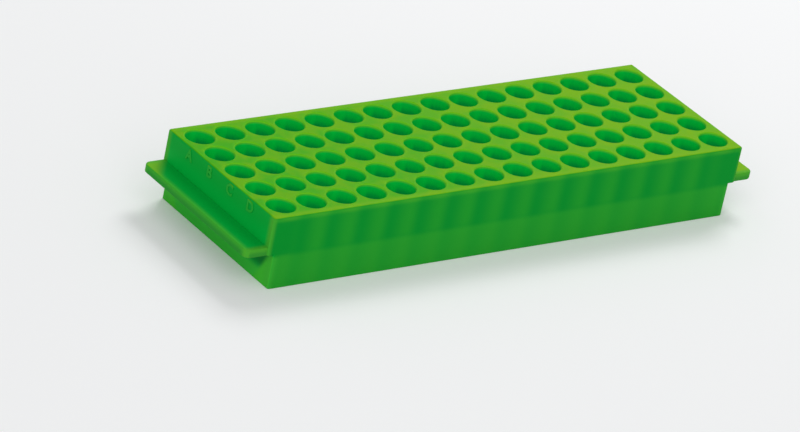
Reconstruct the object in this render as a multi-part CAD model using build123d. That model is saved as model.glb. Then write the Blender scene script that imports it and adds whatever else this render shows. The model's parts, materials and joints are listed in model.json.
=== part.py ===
from build123d import *
import os

# Microcentrifuge tube rack: one polypropylene moulding with a grid of wells, standing on the rim
# of its open skirt. The origin is on the table under its middle. Sizes are in millimetres.

# Well grid
columns = 16
rows = 5
well_gap = 2.05
end_border = 2.5
side_border = 2.9

# One well for a 1.5 ml tube: a straight mouth, a shoulder and a tapered seat
well_diameter = 10.8
mouth_depth = 12.0
mouth_chamfer = 0.35
shoulder_width = 1.1
shoulder_drop = 1.5
seat_depth = 10.5
seat_taper = 2.0
sleeve_wall = 1.2

# Deck and outer walls
deck_thickness = 2.0
wall = 1.9
corner_radius = 1.0
inner_corner_radius = 0.8
top_edge_radius = 0.8
sleeve_clearance = 2.8

# Lifting ledge at each end, and the foot that steps in below it
ledge_reach = 8.7
ledge_drop = 11.6
ledge_thickness = 3.3
ledge_inset = 0.8
ledge_corner_radius = 2.5
ledge_edge_radius = 0.6
foot_inset = 2.7
foot_fillet = 1.0

# Derived sizes
pitch = well_diameter + well_gap
deck_length = (columns - 1) * pitch + well_diameter + 2 * end_border
rack_width = (rows - 1) * pitch + well_diameter + 2 * side_border
overall_length = deck_length + 2 * ledge_reach
foot_length = deck_length - 2 * foot_inset
seat_floor = sleeve_clearance + sleeve_wall
seat_top = seat_floor + seat_depth
shoulder_top = seat_top + shoulder_drop
height = shoulder_top + mouth_depth
ledge_top = height - ledge_drop
ledge_bottom = ledge_top - ledge_thickness
mouth_radius = well_diameter / 2
seat_top_radius = mouth_radius - shoulder_width
seat_bottom_radius = seat_top_radius - seat_taper


def upright_block(length, width, low, high, radius):
    """A block from low to high with its four upright edges rounded."""
    block = Box(length, width, high - low, align=(Align.CENTER, Align.CENTER, Align.MIN))
    return Pos(0, 0, low) * fillet(block.edges().filter_by(Axis.Z), radius)


def turned(profile):
    """A solid of revolution about Z from a list of (radius, height) points."""
    outline = Polyline(*[(radius, 0, z) for radius, z in profile], close=True)
    return revolve(make_face(outline), Axis.Z)


def well():
    """The space inside one well, with a small lead-in at its mouth."""
    return turned([
        (0, height + 1),
        (mouth_radius + mouth_chamfer, height + 1),
        (mouth_radius + mouth_chamfer, height),
        (mouth_radius, height - mouth_chamfer),
        (mouth_radius, shoulder_top),
        (seat_top_radius, seat_top),
        (seat_bottom_radius, seat_floor),
        (0, seat_floor),
    ])


def sleeve():
    """The outside of one well, from above the underside of the deck to the bottom of the seat."""
    return turned([
        (0, height),
        (mouth_radius + sleeve_wall, height),
        (mouth_radius + sleeve_wall, shoulder_top),
        (seat_top_radius + sleeve_wall, seat_top),
        (seat_bottom_radius + sleeve_wall, sleeve_clearance),
        (0, sleeve_clearance),
    ])


def upper_block():
    """Deck and upper walls as a solid block, down to the underside of the ledges."""
    block = upright_block(deck_length, rack_width, ledge_bottom, height, corner_radius)
    return fillet(block.edges().group_by(Axis.Z)[-1], top_edge_radius)


def ledges():
    """The slab whose ends stand out as the two lifting ledges."""
    slab_width = rack_width - 2 * ledge_inset
    slab = upright_block(overall_length, slab_width, ledge_bottom, ledge_top, ledge_corner_radius)
    layers = slab.edges().group_by(Axis.Z)
    return fillet(layers[0] + layers[-1], ledge_edge_radius)


def foot_block():
    """The part below the ledges, as a solid block."""
    return upright_block(foot_length, rack_width, 0, ledge_bottom, corner_radius)


def well_places():
    """Where the wells stand, row by row."""
    return GridLocations(pitch, pitch, columns, rows)


def underside():
    """The hollow below the deck: everything inside the walls that is not a sleeve."""
    hollow_length = foot_length - 2 * wall
    hollow_width = rack_width - 2 * wall
    deck_underside = height - deck_thickness
    hollow = upright_block(hollow_length, hollow_width, -1, deck_underside, inner_corner_radius)
    return hollow.cut(*[place * sleeve() for place in well_places()])


def cove(side):
    """The fillet in the corner between the foot's end wall and the ledge above it."""
    run = rack_width - 2 * corner_radius
    corner = Pos(side * (foot_length + foot_fillet) / 2, 0, ledge_bottom - foot_fillet / 2)
    centre = Pos(side * (foot_length / 2 + foot_fillet), 0, ledge_bottom - foot_fillet)
    filled = corner * Box(foot_fillet, run, foot_fillet)
    return filled - centre * Cylinder(foot_fillet, run, rotation=(90, 0, 0))


def outer_form():
    """The moulding before it is hollowed."""
    return upper_block() + ledges() + foot_block() + cove(1) + cove(-1)


def rack():
    """The whole moulding."""
    return outer_form().cut(underside(), *[place * well() for place in well_places()])


os.makedirs("parts", exist_ok=True)
export_step(rack(), "parts/rack.step")
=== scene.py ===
import json
import math

import bmesh
import bpy
from mathutils import Matrix, Vector


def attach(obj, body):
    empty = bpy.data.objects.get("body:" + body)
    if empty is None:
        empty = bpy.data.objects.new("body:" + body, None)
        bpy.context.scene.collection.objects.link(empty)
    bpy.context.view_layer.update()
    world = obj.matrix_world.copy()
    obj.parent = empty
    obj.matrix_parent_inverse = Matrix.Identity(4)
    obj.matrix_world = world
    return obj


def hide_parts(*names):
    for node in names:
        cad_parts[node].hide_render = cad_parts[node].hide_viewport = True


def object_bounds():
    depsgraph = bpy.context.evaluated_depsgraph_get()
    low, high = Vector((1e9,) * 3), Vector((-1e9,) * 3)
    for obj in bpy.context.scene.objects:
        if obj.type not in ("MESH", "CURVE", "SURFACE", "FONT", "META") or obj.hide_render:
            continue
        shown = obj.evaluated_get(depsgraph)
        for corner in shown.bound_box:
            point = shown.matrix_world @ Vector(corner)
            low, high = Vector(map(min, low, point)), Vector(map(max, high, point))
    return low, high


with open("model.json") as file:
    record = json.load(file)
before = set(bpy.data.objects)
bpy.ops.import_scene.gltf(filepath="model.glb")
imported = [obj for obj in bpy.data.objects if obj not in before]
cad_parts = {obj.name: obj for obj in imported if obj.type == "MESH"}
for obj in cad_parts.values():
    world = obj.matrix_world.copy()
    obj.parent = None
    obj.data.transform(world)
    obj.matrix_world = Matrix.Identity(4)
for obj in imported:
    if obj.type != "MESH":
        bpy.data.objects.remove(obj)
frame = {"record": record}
cad_low, cad_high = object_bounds()
scene = bpy.context.scene


# ---------------------------------------------------------------------------------------------
# The rack moulding: one injection-moulded piece of green polypropylene. Its deck, outer walls,
# lifting ledges and the sleeves that hang below the deck come out of one tool, with small radii
# on every outer edge. Wells stand on a square grid, and the skirt is open underneath.
# ---------------------------------------------------------------------------------------------
mm = 0.001
wells = [mount for mount in frame["record"]["mounts"] if mount["kind"] == "bore"]
well_columns = sorted({round(well["pos_m"][0], 6) for well in wells})
well_rows = sorted({round(well["pos_m"][1], 6) for well in wells})
pitch = well_columns[1] - well_columns[0]
mouth_radius = wells[0]["dims"]["r_mm"] * mm
mouth_middle = wells[0]["pos_m"][2]
shoulder_top = mouth_middle - wells[0]["dims"]["length_mm"] * mm / 2

overall_length = cad_high.x - cad_low.x
width = cad_high.y - cad_low.y
height = cad_high.z - cad_low.z
corner_radius = 1.0 * mm
deck_thickness = 2.0 * mm
wall = 1.9 * mm

ledge_reach = 8.7 * mm
ledge_inset = 0.8 * mm
ledge_drop = 11.6 * mm
ledge_thickness = 3.3 * mm
ledge_top = height - ledge_drop
ledge_bottom = ledge_top - ledge_thickness
deck_length = overall_length - 2 * ledge_reach
foot_inset = 2.7 * mm
foot_length = deck_length - 2 * foot_inset

shoulder_width = 1.1 * mm
shoulder_drop = 1.5 * mm
seat_taper = 2.0 * mm
seat_floor = 4.0 * mm
seat_top = shoulder_top - shoulder_drop
seat_top_radius = mouth_radius - shoulder_width
seat_bottom_radius = seat_top_radius - seat_taper
sleeve_wall = 1.2 * mm
sleeve_bottom = seat_floor - sleeve_wall

# How far one solid runs into the next where they are joined, or past a face that it cuts.
overlap = 1.0 * mm


def arc(centre_r, centre_z, radius, start, end, steps):
    """Points (r, z) along an arc, with its angles in degrees."""
    angles = [math.radians(start + (end - start) * step / steps) for step in range(steps + 1)]
    return [(centre_r + radius * math.cos(a), centre_z + radius * math.sin(a)) for a in angles]


def new_piece(name, bm):
    """A mesh object at the origin from a bmesh."""
    mesh = bpy.data.meshes.new(name)
    bm.to_mesh(mesh)
    bm.free()
    piece = bpy.data.objects.new(name, mesh)
    scene.collection.objects.link(piece)
    return piece


def closed_stack(name, loops):
    """A closed solid skinned over a stack of loops that all have the same number of points."""
    bm = bmesh.new()
    rings = [[bm.verts.new(point) for point in loop] for loop in loops]
    for lower, upper in zip(rings, rings[1:]):
        for k in range(len(lower)):
            n = (k + 1) % len(lower)
            bm.faces.new((lower[k], lower[n], upper[n], upper[k]))
    bm.faces.new(list(reversed(rings[0])))
    bm.faces.new(rings[-1])
    return new_piece(name, bm)


def rounded_rectangle(length, breadth, radius, z, steps=6):
    """A loop of points round a rectangle with rounded corners, anticlockwise from above."""
    loop = []
    for quarter, (sx, sy) in enumerate(((1, 1), (-1, 1), (-1, -1), (1, -1))):
        cx = sx * (length / 2 - radius)
        cy = sy * (breadth / 2 - radius)
        for x, y in arc(cx, cy, radius, 90 * quarter, 90 * quarter + 90, steps):
            loop.append(Vector((x, y, z)))
    return loop


def block(name, length, breadth, low, high, corner, top_edge=0, bottom_edge=0, steps=4):
    """An upright block with rounded corners, and a rolled edge at its top and bottom if asked."""
    levels = []
    if bottom_edge:
        levels += [(bottom_edge + r, z) for r, z in arc(0, low + bottom_edge, bottom_edge, 270, 180, steps)]
    else:
        levels.append((0, low))
    if top_edge:
        levels += [(top_edge + r, z) for r, z in arc(0, high - top_edge, top_edge, 180, 90, steps)]
    else:
        levels.append((0, high))
    loops = [rounded_rectangle(length - 2 * i, breadth - 2 * i, corner - i, z) for i, z in levels]
    return closed_stack(name, loops)


def turned(name, profile, segments=48):
    """A solid of revolution about Z from (radius, height) points, with flat ends."""
    angles = [2 * math.pi * step / segments for step in range(segments)]
    return closed_stack(name, [[Vector((r * math.cos(a), r * math.sin(a), z)) for a in angles]
                               for r, z in profile])


def well_space():
    """The space in one well: rolled lip, straight mouth, shoulder and tapered seat."""
    lip = 0.5 * mm
    corner = 0.8 * mm
    profile = arc(seat_bottom_radius - corner, seat_floor + corner, corner, 270, 350, 4)
    profile += [(seat_top_radius, seat_top), (mouth_radius, shoulder_top)]
    profile += arc(mouth_radius + lip, height - lip, lip, 180, 90, 5)
    profile += [(mouth_radius + lip, height + overlap)]
    return turned("well_space", profile)


def sleeve_outside():
    """The outside of one sleeve, from inside the deck down to its rounded bottom."""
    corner = 1.0 * mm
    bottom_radius = seat_bottom_radius + sleeve_wall
    profile = arc(bottom_radius - corner, sleeve_bottom + corner, corner, 270, 350, 4)
    profile += [(seat_top_radius + sleeve_wall, seat_top), (mouth_radius + sleeve_wall, shoulder_top)]
    profile += [(mouth_radius + sleeve_wall, height - overlap)]
    return turned("sleeve_outside", profile)


def ledge_cove(side):
    """The fillet under a ledge, in the corner with the foot's end wall."""
    radius = 1.0 * mm
    x = foot_length / 2
    section = [(x - overlap, ledge_bottom - radius), (x - overlap, ledge_bottom + overlap)]
    section += [(x + radius, ledge_bottom + overlap)]
    section += arc(x + radius, ledge_bottom - radius, radius, 90, 180, 5)
    half = width / 2 - corner_radius
    loops = [[Vector((side * px, y, pz)) for px, pz in section] for y in (-half, half)]
    if side < 0:
        loops.reverse()
    return closed_stack("ledge_cove", loops)


def add_node(tree, kind, settings=None, **inputs):
    """Adds a node with its settings. Each input, by name or as _ and its number, gets a value or a link."""
    node = tree.nodes.new(kind)
    for key, value in (settings or {}).items():
        setattr(node, key, value)
    for key, value in inputs.items():
        socket = node.inputs[int(key[1:]) if key[0] == "_" else key.replace("_", " ")]
        if isinstance(value, bpy.types.NodeSocket):
            tree.links.new(value, socket)
        else:
            socket.default_value = value
    return node


def plain_mesh(piece):
    """Turns the piece's modifiers into its mesh and takes them off."""
    shown = piece.evaluated_get(bpy.context.evaluated_depsgraph_get())
    mesh = bpy.data.meshes.new_from_object(shown)
    piece.modifiers.clear()
    piece.data = mesh


def linear(colour):
    """A linear colour from an sRGB hex value."""
    parts = [int(colour[k:k + 2], 16) / 255 for k in (0, 2, 4)]
    return [c / 12.92 if c <= 0.04045 else ((c + 0.055) / 1.055) ** 2.4 for c in parts] + [1.0]


# The tree that makes the moulding from its outer form: hollow it round the sleeves, then open the wells.
rack_tree = bpy.data.node_groups.new("rack_from_block", "GeometryNodeTree")
rack_tree.interface.new_socket("Geometry", in_out="OUTPUT", socket_type="NodeSocketGeometry")
for name, kind in (("Block", "Geometry"), ("Hollow", "Object"), ("Sleeve", "Object"), ("Well", "Object"),
                   ("Columns", "Int"), ("Rows", "Int"), ("Pitch", "Float"), ("Finish", "Material")):
    rack_tree.interface.new_socket(name, in_out="INPUT", socket_type="NodeSocket" + kind)
entry = rack_tree.nodes.new("NodeGroupInput").outputs
spans = {}
for count in ("Columns", "Rows"):
    gaps = add_node(rack_tree, "ShaderNodeMath", {"operation": "SUBTRACT"}, _0=entry[count], _1=1.0)
    span = add_node(rack_tree, "ShaderNodeMath", {"operation": "MULTIPLY"}, _0=gaps.outputs[0],
                    _1=entry["Pitch"])
    spans[count] = span.outputs[0]
places = add_node(rack_tree, "GeometryNodeMeshGrid", Size_X=spans["Columns"], Size_Y=spans["Rows"],
                  Vertices_X=entry["Columns"], Vertices_Y=entry["Rows"])
on_grid = {}
for name in ("Sleeve", "Well"):
    shape = add_node(rack_tree, "GeometryNodeObjectInfo", Object=entry[name])
    copies = add_node(rack_tree, "GeometryNodeInstanceOnPoints", Points=places.outputs["Mesh"],
                      Instance=shape.outputs["Geometry"])
    on_grid[name] = copies.outputs["Instances"]
subtract = {"operation": "DIFFERENCE", "solver": "MANIFOLD"}
sleeves = add_node(rack_tree, "GeometryNodeMeshBoolean", {"operation": "UNION", "solver": "MANIFOLD"},
                   _1=on_grid["Sleeve"])
inside = add_node(rack_tree, "GeometryNodeObjectInfo", Object=entry["Hollow"])
cored = add_node(rack_tree, "GeometryNodeMeshBoolean", subtract, _0=inside.outputs["Geometry"],
                 _1=sleeves.outputs["Mesh"])
shell = add_node(rack_tree, "GeometryNodeMeshBoolean", subtract, _0=entry["Block"],
                 _1=cored.outputs["Mesh"])
opened = add_node(rack_tree, "GeometryNodeMeshBoolean", subtract, _0=shell.outputs["Mesh"],
                  _1=on_grid["Well"])
whole = add_node(rack_tree, "GeometryNodeRealizeInstances", Geometry=opened.outputs["Mesh"])
painted = add_node(rack_tree, "GeometryNodeSetMaterial", Geometry=whole.outputs["Geometry"],
                   Material=entry["Finish"])
add_node(rack_tree, "NodeGroupOutput", _0=painted.outputs["Geometry"])

# Green polypropylene, injection moulded, with the satin face of the tool. The real plastic lets a little
# light through; here its light and shade are painted into the colour: tops are painted yellow-green as lit,
# while walls and wells are painted a deep emerald as in shade, with painted glow lighter near a well's mouth
# and in a band where each sleeve stands behind a long wall, and painted shade darkest on the foot's end
# walls, under the ledges.
finish = bpy.data.materials.new("green_polypropylene_moulded_satin")
finish.use_nodes = True
tree = finish.node_tree
tree.nodes.clear()
place = add_node(tree, "ShaderNodeTexCoord")
position = add_node(tree, "ShaderNodeSeparateXYZ", Vector=place.outputs["Object"]).outputs
facing = add_node(tree, "ShaderNodeSeparateXYZ", Vector=place.outputs["Normal"]).outputs
from_middle = add_node(tree, "ShaderNodeMath", {"operation": "ABSOLUTE"}, _0=position["X"]).outputs[0]
from_centre_line = add_node(tree, "ShaderNodeMath", {"operation": "ABSOLUTE"}, _0=position["Y"]).outputs[0]
along_x = add_node(tree, "ShaderNodeMath", {"operation": "ABSOLUTE"}, _0=facing["X"]).outputs[0]
along_y = add_node(tree, "ShaderNodeMath", {"operation": "ABSOLUTE"}, _0=facing["Y"]).outputs[0]
flow_size = 8 * mm
flow = add_node(tree, "ShaderNodeTexNoise", Vector=place.outputs["Object"], Scale=1 / flow_size, Detail=2.0)

# How far past the inside a point is, along X. The inside ends at the foot's end face, and higher up,
# where the outermost wells stand, a little further out.
further_out = 1.2 * mm
high_up = add_node(tree, "ShaderNodeMath", {"operation": "GREATER_THAN"}, _0=position["Z"],
                   _1=ledge_bottom + 1 * mm)
inside_end = add_node(tree, "ShaderNodeMath", {"operation": "MULTIPLY_ADD"}, _0=high_up.outputs[0],
                      _1=further_out, _2=foot_length / 2)
past_inside = add_node(tree, "ShaderNodeMath", {"operation": "SUBTRACT"}, _0=from_middle,
                       _1=inside_end.outputs[0]).outputs[0]

# Two slanted borders: the deck's shadow across a ledge, and the ledge's shade down the foot's end.
shadow_slant = 1.25
past_shadow = add_node(tree, "ShaderNodeMath", {"operation": "MULTIPLY_ADD"}, _0=from_middle,
                       _1=shadow_slant, _2=position["Y"]).outputs[0]
shade_slant = -0.56
past_shade = add_node(tree, "ShaderNodeMath", {"operation": "MULTIPLY_ADD"}, _0=position["Z"],
                      _1=shade_slant, _2=from_centre_line).outputs[0]

# One band of painted glow for each well, where its sleeve stands behind a long wall: it rises slowly to its
# lightest part and falls off faster after it.
band_start = well_columns[0] + 4.5 * mm
lightest = 0.61
offset = add_node(tree, "ShaderNodeMath", {"operation": "SUBTRACT"}, _0=position["X"], _1=band_start)
turns = add_node(tree, "ShaderNodeMath", {"operation": "DIVIDE"}, _0=offset.outputs[0], _1=pitch)
phase = add_node(tree, "ShaderNodeMath", {"operation": "FRACT"}, _0=turns.outputs[0])
band = add_node(tree, "ShaderNodeValToRGB", Fac=phase.outputs[0])
band.color_ramp.interpolation = "EASE"
band.color_ramp.elements[0].color = (0, 0, 0, 1)
band.color_ramp.elements[1].color = (0, 0, 0, 1)
band.color_ramp.elements.new(lightest).color = (1, 1, 1, 1)

# How far a point is from the axis of the nearest well.
to_column = add_node(tree, "ShaderNodeMath", {"operation": "SUBTRACT"}, _0=position["X"],
                     _1=well_columns[0])
across = add_node(tree, "ShaderNodeMath", {"operation": "PINGPONG"}, _0=to_column.outputs[0], _1=pitch / 2)
along = add_node(tree, "ShaderNodeMath", {"operation": "PINGPONG"}, _0=position["Y"], _1=pitch / 2)
apart = add_node(tree, "ShaderNodeCombineXYZ", X=across.outputs[0], Y=along.outputs[0])
from_well = add_node(tree, "ShaderNodeVectorMath", {"operation": "LENGTH"},
                     _0=apart.outputs[0]).outputs["Value"]

# Fades that place the tints: each is a smooth step from 0 at its first value to 1 at its second.
end_x = deck_length / 2
side_y = width / 2
fades = {"band": band.outputs["Color"]}
for name, value, start, end in (
        ("faces_up", facing["Z"], 0.6, 1.0),
        ("faces_end", along_x, 0.6, 0.95),
        ("faces_side", along_y, 0.6, 0.95),
        ("at_deck", position["Z"], height - 5 * mm, height - 0.8 * mm),
        ("inside_x", past_inside, -0.4 * mm, -0.8 * mm),
        ("inside_y", from_centre_line, side_y - 0.8 * mm, side_y - 1.2 * mm),
        ("at_side", from_centre_line, side_y - 1.2 * mm, side_y - 0.9 * mm),
        ("painted_edge_highlight", from_centre_line, side_y - 3.4 * mm, side_y - 1.4 * mm),
        ("near_mouth", position["Z"], height - 5 * mm, height - 2.5 * mm),
        ("back_of_well", facing["Y"], -0.86, -1.0),
        ("right_of_well", facing["X"], -0.88, -1.0),
        ("left_of_well", facing["X"], 0.1, 0.6),
        ("front_of_well", facing["Y"], -0.4, 0.5),
        ("deep_in_well", position["Z"], height - 1.8 * mm, height - 4.5 * mm),
        ("lip", position["Z"], height - 1.4 * mm, height + 0.2 * mm),
        ("painted_rim_highlight", from_well, mouth_radius + 1.3 * mm, mouth_radius + 0.4 * mm),
        ("above_skirt", position["Z"], 10.5 * mm, 15 * mm),
        ("skirt", position["Z"], 14 * mm, 11.5 * mm),
        ("painted_top_rim_highlight", position["Z"], height - 2.4 * mm, height - 0.6 * mm),
        ("clear_of_ends", from_middle, well_columns[-1] + 1 * mm, well_columns[-1] - 9 * mm),
        ("painted_light_down_the_end", position["Z"], height - 3 * mm, ledge_top),
        ("on_ledge", from_middle, end_x, end_x + 0.3 * mm),
        ("ledge_root", from_middle, end_x + 6 * mm, end_x + 1.5 * mm),
        ("outer_ledge", from_middle, end_x + 6.2 * mm, overall_length / 2),
        ("ledge_rim", from_middle, overall_length / 2 - 0.7 * mm, overall_length / 2 - 0.3 * mm),
        ("ledge_corner", from_centre_line, side_y - 5 * mm, side_y - 2 * mm),
        ("raised", from_middle, end_x + 0.1 * mm, end_x + 0.2 * mm),
        ("above_ledge", position["Z"], ledge_top + 1 * mm, ledge_top + 3 * mm),
        ("under_the_rim", position["Z"], ledge_top - 0.4 * mm, ledge_top - 2.2 * mm),
        ("out_of_shadow", past_shadow, 160.5 * mm, 167.5 * mm),
        ("corner_x", from_middle, end_x - 1.9 * mm, end_x + 0.5 * mm),
        ("corner_y", from_centre_line, side_y - 3.7 * mm, side_y - 1.3 * mm),
        ("foot_end", from_middle, foot_length / 2 - 3 * mm, foot_length / 2 - 0.3 * mm),
        ("foot_edge", from_centre_line, side_y - 6 * mm, side_y - 1.5 * mm),
        ("below_ledge", position["Z"], ledge_bottom, ledge_bottom - 1.5 * mm),
        ("painted_bounce_light_on_foot", position["Z"], 7 * mm, 3.5 * mm),
        ("painted_shade_under_ledge", position["Z"], 3.5 * mm, 8 * mm),
        ("out_of_shade", past_shade, 23.2 * mm, 25.8 * mm),
        ("to_the_right", position["X"], -end_x, end_x),
        ("flow", flow.outputs["Fac"], 0.35, 0.65)):
    fade = add_node(tree, "ShaderNodeMapRange", {"interpolation_type": "SMOOTHSTEP"}, Value=value,
                    From_Min=start, From_Max=end)
    fades[name] = fade.outputs["Result"]

# The tints, each laid over those before it: its colour, how strong it is, and the fades that place it.
colour = linear("00932C")
for tint, strength, where in (
        # long walls: painted emerald shade, with painted glow in the bands, a lighter skirt below, and a
        # painted highlight along the top rim
        ("1D9D2B", 1.0, ("at_side", "faces_side", "band", "above_skirt", "clear_of_ends")),
        ("209E2D", 1.0, ("at_side", "faces_side", "skirt")),
        ("28A22D", 1.0, ("at_side", "faces_side", "skirt", "band")),
        ("2EA82B", 0.7, ("at_side", "faces_side", "painted_top_rim_highlight")),
        ("5AB42B", 0.3, ("at_side", "faces_side", "painted_top_rim_highlight", "band")),
        # end walls, painted emerald as in shade, with the foot below and the raised letters above
        ("00A536", 1.0, ("faces_end",)),
        # painted light, lighter down towards the ledge
        ("00BA45", 1.0, ("faces_end", "painted_light_down_the_end")),
        # painted bounce light low on the foot
        ("39C03C", 1.0, ("faces_end", "painted_bounce_light_on_foot")),
        # painted shade under the ledge, then painted light past its slanted edge near the corners
        ("007F2C", 1.0, ("faces_end", "below_ledge", "painted_shade_under_ledge")),
        ("44C434", 1.0, ("faces_end", "below_ledge", "out_of_shade")),
        # painted highlight at the foot's corners
        ("3CB034", 0.6, ("foot_end", "foot_edge", "below_ledge")),
        # painted glow on the raised letters
        ("2EAE38", 0.75, ("raised", "above_ledge")),
        # ledges, painted with light and shade: tops emerald as in shade, darker at the root
        ("00B040", 1.0, ("faces_up", "on_ledge")),
        ("00A53B", 1.0, ("faces_up", "on_ledge", "ledge_root")),
        # painted highlight on the rim, painted shade under it, lighter at the corners
        ("39A82D", 1.0, ("ledge_rim",)),
        ("27942D", 1.0, ("ledge_rim", "under_the_rim")),
        ("49AF2D", 0.8, ("ledge_rim", "ledge_corner")),
        # painted light towards the outer edge, over the right ledge, and where a back corner is out of the
        # deck's shadow
        ("41B836", 1.0, ("faces_up", "on_ledge", "outer_ledge")),
        ("82BC00", 1.0, ("faces_up", "on_ledge", "to_the_right")),
        ("74BC1C", 0.95, ("faces_up", "on_ledge", "out_of_shadow")),
        # upright corners with a painted highlight, and the ledges' short sides beside them painted lighter as
        # lit
        ("4FAD2E", 0.85, ("corner_x", "corner_y")),
        ("35962F", 1.0, ("at_side", "on_ledge", "under_the_rim")),
        # wells, painted with light and shade: an emerald glow, lighter near the mouth and on the back and
        # left walls
        ("00B153", 1.0, ("inside_x", "inside_y")),
        ("00CB4C", 1.0, ("inside_x", "inside_y", "near_mouth")),
        ("00DA50", 0.9, ("inside_x", "inside_y", "back_of_well")),
        ("00F05C", 0.3, ("inside_x", "inside_y", "back_of_well", "deep_in_well")),
        ("00EC58", 0.7, ("inside_x", "inside_y", "left_of_well")),
        # painted highlight on the lip, with painted shade on its front side
        ("80D418", 1.0, ("inside_x", "inside_y", "lip")),
        ("20B040", 0.7, ("inside_x", "inside_y", "lip", "front_of_well")),
        # painted light near the mouth of the right wall
        ("00DC4C", 0.4, ("inside_x", "inside_y", "right_of_well", "near_mouth")),
        # deck: painted yellow-green as lit, with a painted highlight round each well and along the long
        # edges, painted lighter towards the right, and mottled at random
        ("42AD00", 1.0, ("faces_up", "at_deck")),
        ("54C000", 0.4, ("faces_up", "at_deck", "painted_rim_highlight")),
        ("78B800", 0.55, ("faces_up", "at_deck", "painted_edge_highlight")),
        ("76B500", 0.7, ("faces_up", "at_deck", "to_the_right")),
        ("84B600", 0.45, ("faces_up", "at_deck", "flow"))):
    amount = strength
    for name in where:
        amount = add_node(tree, "ShaderNodeMath", {"operation": "MULTIPLY"}, _0=amount,
                          _1=fades[name]).outputs[0]
    blend = add_node(tree, "ShaderNodeMix", {"data_type": "RGBA"}, _0=amount, _6=colour, _7=linear(tint))
    colour = blend.outputs[2]

# The satin face: spark-eroded grain about 0.3 mm wide, drawn a little coarser than it is, at 0.4 mm.
grain_size = 0.4 * mm
grain = add_node(tree, "ShaderNodeTexNoise", Vector=place.outputs["Object"], Scale=1 / grain_size, Detail=3.0)
satin = add_node(tree, "ShaderNodeBump", Strength=0.12, Distance=0.06 * mm, Height=grain.outputs["Fac"])
sheen = add_node(tree, "ShaderNodeMapRange", Value=flow.outputs["Fac"], From_Min=0.3, From_Max=0.7,
                 To_Min=0.42, To_Max=0.52)
plastic = add_node(tree, "ShaderNodeBsdfPrincipled", Base_Color=colour, Roughness=sheen.outputs["Result"],
                   IOR=1.49, Specular_IOR_Level=0.04, Normal=satin.outputs["Normal"])
add_node(tree, "ShaderNodeOutputMaterial", Surface=plastic.outputs["BSDF"])

# The outer form: the deck block, joined with the foot, the slab whose ends are the ledges, and the coves.
deck_edge = 0.8 * mm
foot_rim = 0.25 * mm
ledge_corner = 2.5 * mm
ledge_edge = 0.6 * mm
rack = block("rack_moulding", deck_length, width, ledge_bottom, height, corner_radius,
             top_edge=deck_edge, bottom_edge=deck_edge)
foot = block("foot", foot_length, width, 0, ledge_bottom + overlap, corner_radius, bottom_edge=foot_rim)
slab = block("slab", overall_length, width - 2 * ledge_inset, ledge_bottom, ledge_top, ledge_corner,
             top_edge=ledge_edge, bottom_edge=ledge_edge)
additions = [foot, slab, ledge_cove(1), ledge_cove(-1)]
for addition in additions:
    union = rack.modifiers.new("union", "BOOLEAN")
    union.operation = "UNION"
    union.solver = "EXACT"
    union.object = addition
plain_mesh(rack)

# What the tree takes away: the hollow below the deck, outside the sleeves, and the space in each well.
hollow_corner = 0.8 * mm
hollow_edge = 0.5 * mm
hollow = block("hollow", foot_length - 2 * wall, width - 2 * wall, -overlap, height - deck_thickness,
               hollow_corner, top_edge=hollow_edge)
sleeve = sleeve_outside()
well = well_space()
shaping = rack.modifiers.new("shaping", "NODES")
shaping.node_group = rack_tree
keys = {item.name: item.identifier for item in rack_tree.interface.items_tree if item.in_out == "INPUT"}
for name, value in (("Hollow", hollow), ("Sleeve", sleeve), ("Well", well), ("Columns", len(well_columns)),
                    ("Rows", len(well_rows)), ("Pitch", pitch), ("Finish", finish)):
    shaping[keys[name]] = value
plain_mesh(rack)
for helper in [*additions, hollow, well, sleeve]:
    bpy.data.objects.remove(helper)

# Rolled edges shade smoothly into the flat faces beside them, and anything steeper stays crisp.
crisp = math.radians(35)
rack.data.shade_smooth()
rack.data.set_sharp_from_angle(angle=crisp)
even = rack.modifiers.new("even", "WEIGHTED_NORMAL")
even.keep_sharp = True
even.weight = 90
plain_mesh(rack)
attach(rack, "root")
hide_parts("rack")


# ---------------------------------------------------------------------------------------------
# Row letters: plain capitals that stand 0.3 mm proud of the left end wall, just under the deck,
# one between each two rows. They are cut into the same tool, so they are part of the moulding.
# ---------------------------------------------------------------------------------------------
letter_size = 5.6 * mm
letter_middle = height - 3.2 * mm
bm = bmesh.new()
for letter, row in zip("ABCD", reversed(well_rows)):
    outline = bpy.data.curves.new("letter", "FONT")
    outline.body = letter
    outline.size = letter_size
    outline.align_x = "CENTER"
    outline.align_y = "CENTER"
    outline.resolution_u = 4
    outline.offset = 0.08 * mm
    outline.extrude = 0.2 * mm
    outline.bevel_depth = 0.1 * mm
    outline.bevel_resolution = 1
    drawn = bpy.data.objects.new("letter", outline)
    scene.collection.objects.link(drawn)
    solid = bpy.data.meshes.new_from_object(drawn.evaluated_get(bpy.context.evaluated_depsgraph_get()))
    turn = Matrix(((0, 0, -1, -end_x), (-1, 0, 0, row - pitch / 2), (0, 1, 0, letter_middle), (0, 0, 0, 1)))
    solid.transform(turn)
    bm.from_mesh(solid)
    bpy.data.objects.remove(drawn)
bmesh.ops.remove_doubles(bm, verts=bm.verts, dist=0.001 * mm)
bmesh.ops.recalc_face_normals(bm, faces=bm.faces)
letters = new_piece("row_letters", bm)
letters.data.materials.append(finish)
letters.data.shade_smooth()
letters.data.set_sharp_from_angle(angle=crisp)
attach(letters, "root")


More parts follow.
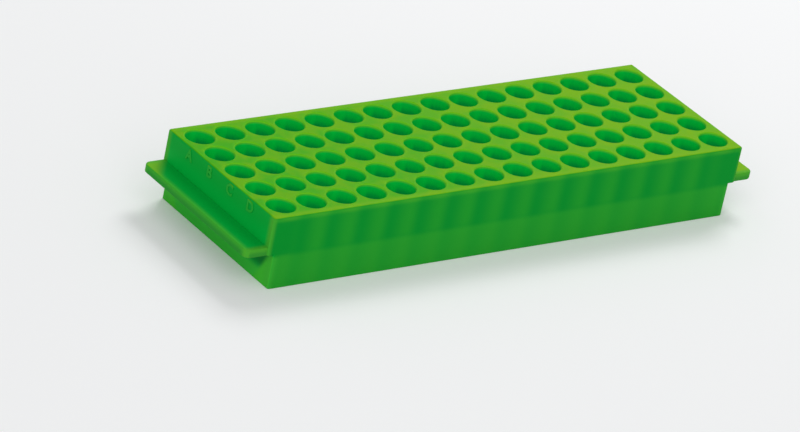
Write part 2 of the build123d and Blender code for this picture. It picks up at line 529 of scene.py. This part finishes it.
# ---------------------------------------------------------------------------------------------
# The floor: a wide pale matt sheet that the rack stands on. It keeps the rack's shadow, and far
# from the rack it turns to plain white, so that it meets the white surround without an edge.
# ---------------------------------------------------------------------------------------------
floor_size = 6.0
fade_start = 0.25
fade_end = 1.2
least_white = 0.15
bm = bmesh.new()
bmesh.ops.create_grid(bm, x_segments=1, y_segments=1, size=floor_size / 2)
floor = new_piece("floor", bm)
paper = bpy.data.materials.new("matt_white_paper")
paper.use_nodes = True
paper.node_tree.nodes.clear()
sheet = add_node(paper.node_tree, "ShaderNodeBsdfDiffuse", Color=linear("F9FAFB"))
bright = add_node(paper.node_tree, "ShaderNodeEmission", Color=(1, 1, 1, 1), Strength=1.0)
ray = add_node(paper.node_tree, "ShaderNodeLightPath").outputs
seen = add_node(paper.node_tree, "ShaderNodeMath", {"operation": "MAXIMUM"}, _0=ray["Is Camera Ray"],
                _1=ray["Is Transmission Ray"])
shown = add_node(paper.node_tree, "ShaderNodeMath", {"operation": "MAXIMUM"}, _0=seen.outputs[0],
                 _1=ray["Is Glossy Ray"])
spot = add_node(paper.node_tree, "ShaderNodeTexCoord")
away = add_node(paper.node_tree, "ShaderNodeVectorMath", {"operation": "LENGTH"},
                _0=spot.outputs["Object"])
fading = add_node(paper.node_tree, "ShaderNodeMapRange", {"interpolation_type": "SMOOTHSTEP"},
                  Value=away.outputs["Value"], From_Min=fade_start, From_Max=fade_end,
                  To_Min=least_white, To_Max=1.0)
share = add_node(paper.node_tree, "ShaderNodeMath", {"operation": "MULTIPLY"}, _0=shown.outputs[0],
                 _1=fading.outputs["Result"])
laid = add_node(paper.node_tree, "ShaderNodeMixShader", _0=share.outputs[0], _1=sheet.outputs["BSDF"],
                _2=bright.outputs["Emission"])
add_node(paper.node_tree, "ShaderNodeOutputMaterial", Surface=laid.outputs["Shader"])
floor.data.materials.append(paper)


# ---------------------------------------------------------------------------------------------
# Light: a white surround and two soft boxes. The key is small, above and behind the right end, and
# the fill is large, in front of the left end. The surround lights less brightly than it shows.
# ---------------------------------------------------------------------------------------------
world = bpy.data.worlds.new("surround")
scene.world = world
world.use_nodes = True
sky = world.node_tree
sky.nodes.clear()
ray = add_node(sky, "ShaderNodeLightPath").outputs
seen = add_node(sky, "ShaderNodeMath", {"operation": "MAXIMUM"}, _0=ray["Is Camera Ray"],
                _1=ray["Is Transmission Ray"])
mirrored = add_node(sky, "ShaderNodeMath", {"operation": "MAXIMUM"}, _0=seen.outputs[0],
                    _1=ray["Is Glossy Ray"])
surround_level = 0.45
level = add_node(sky, "ShaderNodeMapRange", Value=mirrored.outputs[0], To_Min=surround_level, To_Max=1.0)
white = add_node(sky, "ShaderNodeBackground", Color=(1, 1, 1, 1), Strength=level.outputs["Result"])
add_node(sky, "ShaderNodeOutputWorld", Surface=white.outputs["Background"])


def soft_box(name, direction, distance, size, power):
    """A square lamp that faces the rack from a direction."""
    lamp = bpy.data.lights.new(name, "AREA")
    lamp.shape = "SQUARE"
    lamp.size = size
    lamp.energy = power
    box = bpy.data.objects.new(name, lamp)
    box.location = Vector(direction).normalized() * distance
    box.rotation_euler = Vector(direction).to_track_quat("Z", "Y").to_euler()
    scene.collection.objects.link(box)


soft_box("key_box", (0.68, 0.5, 1.0), 1.3, 0.5, 6.6)
soft_box("fill_box", (-0.8, -1.0, 0.9), 1.5, 1.6, 9.0)


# ---------------------------------------------------------------------------------------------
# Camera: a long lens, a little under two metres from the rack, to the left of its front and above,
# and turned about its own axis, so that the long side climbs to the right.
# ---------------------------------------------------------------------------------------------
view_bearing = math.radians(40.6)
view_dip = math.radians(26.5)
view_roll = math.radians(12.05)
view_distance = 1.821
aim = Vector((-40.1, -22.6, 14.0)) * mm
lens = bpy.data.cameras.new("camera")
lens.lens = 233.8
lens.sensor_width = 36.0
lens.clip_end = 20.0
camera = bpy.data.objects.new("camera", lens)
scene.collection.objects.link(camera)
turn = Matrix.Rotation(-view_bearing, 4, "Z") @ Matrix.Rotation(math.pi / 2 - view_dip, 4, "X")
camera.matrix_world = (Matrix.Translation(aim) @ turn @ Matrix.Rotation(view_roll, 4, "Z")
                       @ Matrix.Translation((0, 0, view_distance)))
scene.camera = camera
scene.view_settings.view_transform = "Standard"
